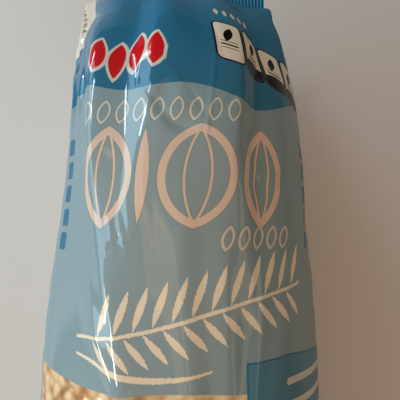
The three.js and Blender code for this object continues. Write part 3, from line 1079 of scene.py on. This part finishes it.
class RICEPACK_OT_seals(bpy.types.Operator):
    """Make the crimped seal at each end"""

    bl_idname = "rice_pack.seals"
    bl_label = "Crimped Seals"

    def execute(self, context):
        sizes = context.scene.rice_pack_sizes
        shape = seal_tree(film_finish())
        for end, outward, edge in (("top", 1.0, TOP_SEAL), ("base", -1.0, BASE_SEAL)):
            inner, outer = edge - SEAL_BITE * outward, PACK_END * outward
            seal = grown(f"{end}_seal", shape, {
                "Width": 2 * HALF_SEAL * MM,
                "Length": abs(outer - inner) * MM,
                "Thickness": 2 * HALF_SEAL_THICK * MM,
                "Centre X": float(sway(inner)) * MM,
                "Centre Y": (inner + outer) / 2 * MM,
                "Height": SEAL_Z * MM,
                "Outward": outward,
                "Rib Pitch": sizes.rib_pitch,
                "Rib Depth": sizes.rib_depth,
                "Tooth Pitch": sizes.tooth_pitch,
                "Tooth Depth": sizes.tooth_depth,
                "Ripple": SEAL_RIPPLE * MM,
                "Ripple Waves": RIPPLE_WAVES,
                "Ripple Start": RIPPLE_START[end],
                "Label Offset": float(length_up_ridge(edge)) - edge,
                "Steps Across": 401,
                "Steps Along": 14,
            })
            carried(seal)
        return {"FINISHED"}


class RICEPACK_OT_fin(bpy.types.Operator):
    """Make the flat back seam that the pack rests on"""

    bl_idname = "rice_pack.fin"
    bl_label = "Back Fin"

    def execute(self, context):
        film = bpy.data.objects.get(SKIN)
        if film is None:
            raise RuntimeError("the film skin comes before its back fin")
        sizes = context.scene.rice_pack_sizes
        start, end = BASE_SEAL + 1, TOP_SEAL - 1
        fin = grown("back_fin", fin_tree(film_finish()), {
            "Film": film,
            "Width": sizes.fin_width,
            "Length": (end - start) * MM,
            "Centre Y": (start + end) / 2 * MM,
            "Drop": 0.7 * MM,
            "Overlap": 0.15 * MM,
            "Rib Pitch": 2 * MM,
            "Rib Depth": 0.12 * MM,
            "Label Across": 150.0,
            "Steps Across": 9,
            "Steps Along": 800,
        })
        carried(fin)
        return {"FINISHED"}


# Each light is its name, its place, its width and height in metres, the power that it has a share
# of, that share, and its display colour.
AIM = (0, 0.04, 0.05)
COOL_PANE, WARM_PANE = (232, 244, 255), (255, 242, 220)
LIGHTS = (
    ("window", (-0.62, 0.22, 0.32), (1.2, 0.28), "window_power", 1, (188, 232, 255)),
    ("pane", (-0.5, 0.49, 0.54), (0.3, 0.06), "pane_power", 0.9, COOL_PANE),
    ("pane_four", (-0.6, 0.8, 0.2), (0.3, 0.06), "pane_power", 0.9, COOL_PANE),
    ("pane_two", (-0.546, -0.282, 0.185), (0.144, 0.055), "pane_power", 0.5, WARM_PANE),
    ("pane_three", (-0.55, -0.23, 0.41), (0.28, 0.06), "pane_power", 0.85, WARM_PANE),
    ("lamp", (-0.25, -0.1, 0.7), (0.8, 0.06), "lamp_power", 1, (255, 205, 150)),
    ("lamp_two", (-0.19, -0.1, 0.7), (0.8, 0.04), "lamp_power", 0.8, (255, 195, 130)),
    ("lamp_three", (0.45, -0.15, 0.5), (0.5, 0.08), "lamp_power", 0.7, (255, 225, 190)),
    ("fill", (-0.1, -0.05, 0.75), (1.1, 1.1), "fill_power", 1, (255, 203, 152)),
)
SURROUND = (240, 222, 204)
FLOOR_REACH = 4.0
FLOOR_ROUGHNESS = 0.85
CAMERA_PLACE = (0, 0.04, 0.1744)
CAMERA_LEAN = (-16 / 290, -20 / 290)  # how far its axis leans along X and Y for each metre of Z
SENSOR_WIDTH = 36
NEAREST_SEEN = 0.005


def make_floor(look):
    mesh = bpy.data.meshes.new("floor")
    far = FLOOR_REACH
    corners = [(-far, -far, 0), (far, -far, 0), (far, far, 0), (-far, far, 0)]
    mesh.from_pydata(corners, [], [(0, 1, 2, 3)])
    floor = bpy.data.objects.new("floor", mesh)
    bpy.context.scene.collection.objects.link(floor)
    paint = bpy.data.materials.new("floor_paint")
    paint.use_nodes = True
    shader = paint.node_tree.nodes["Principled BSDF"]
    shader.inputs["Base Color"].default_value = (*look.floor, 1)
    shader.inputs["Roughness"].default_value = FLOOR_ROUGHNESS
    mesh.materials.append(paint)


def make_surround(look):
    world = bpy.data.worlds.new("surround")
    world.use_nodes = True
    background = world.node_tree.nodes["Background"]
    background.inputs["Color"].default_value = (*srgb(*SURROUND), 1)
    background.inputs["Strength"].default_value = look.sky_strength
    bpy.context.scene.world = world


def make_light(name, place, size, power, colour):
    data = bpy.data.lights.new(name, "AREA")
    data.shape = "RECTANGLE"
    data.size, data.size_y = size
    data.energy = power
    data.color = srgb(*colour)
    lamp = bpy.data.objects.new(name, data)
    lamp.location = place
    lamp.rotation_euler = (Vector(AIM) - Vector(place)).to_track_quat("-Z", "Y").to_euler()
    bpy.context.scene.collection.objects.link(lamp)


def make_camera(look):
    camera = bpy.data.objects.new("camera", bpy.data.cameras.new("camera"))
    camera.data.lens = look.lens
    camera.data.sensor_width = SENSOR_WIDTH
    camera.data.clip_start = NEAREST_SEEN
    camera.location = CAMERA_PLACE
    away = Vector((*CAMERA_LEAN, 1)).normalized()
    up = (Vector((0, 1, 0)) - away * away.y).normalized()
    right = up.cross(away)
    camera.rotation_mode = "QUATERNION"
    camera.rotation_quaternion = Matrix((right, up, away)).transposed().to_quaternion()
    bpy.context.scene.collection.objects.link(camera)
    bpy.context.scene.camera = camera


class RICEPACK_OT_stage(bpy.types.Operator):
    """Make the floor, the soft lights and the camera"""

    bl_idname = "rice_pack.stage"
    bl_label = "Stage"

    def execute(self, context):
        look = context.scene.rice_pack_stage
        make_floor(look)
        make_surround(look)
        for name, place, size, source, share, colour in LIGHTS:
            make_light(name, place, size, getattr(look, source) * share, colour)
        make_camera(look)
        context.scene.view_settings.view_transform = "Standard"
        return {"FINISHED"}


class RICEPACK_PT_panel(bpy.types.Panel):
    """Lists the pieces of the pack and what can be changed"""

    bl_idname = "RICEPACK_PT_panel"
    bl_label = "Rice Cake Pack"
    bl_space_type = "VIEW_3D"
    bl_region_type = "UI"
    bl_category = "Rice Pack"

    def draw(self, context):
        for step in STEPS:
            self.layout.operator(step.bl_idname)
        for group_name in GROUPS:
            group = getattr(context.scene, group_name)
            box = self.layout.box()
            for name in group.__annotations__:
                box.prop(group, name)


GROUPS = {
    "rice_pack_sizes": RicePackSizes,
    "rice_pack_print": RicePackPrint,
    "rice_pack_stage": RicePackStage,
}
STEPS = (RICEPACK_OT_film, RICEPACK_OT_seals, RICEPACK_OT_fin, RICEPACK_OT_stage)
CLASSES = (*GROUPS.values(), *STEPS, RICEPACK_PT_panel)


def register():
    for made in CLASSES:
        bpy.utils.register_class(made)
    for name, group in GROUPS.items():
        setattr(bpy.types.Scene, name, PointerProperty(type=group))


def unregister():
    for name in GROUPS:
        delattr(bpy.types.Scene, name)
    for made in reversed(CLASSES):
        bpy.utils.unregister_class(made)


def main():
    register()
    bpy.ops.rice_pack.film()
    bpy.ops.rice_pack.seals()
    bpy.ops.rice_pack.fin()
    bpy.ops.rice_pack.stage()


if __name__ == "__main__":
    main()
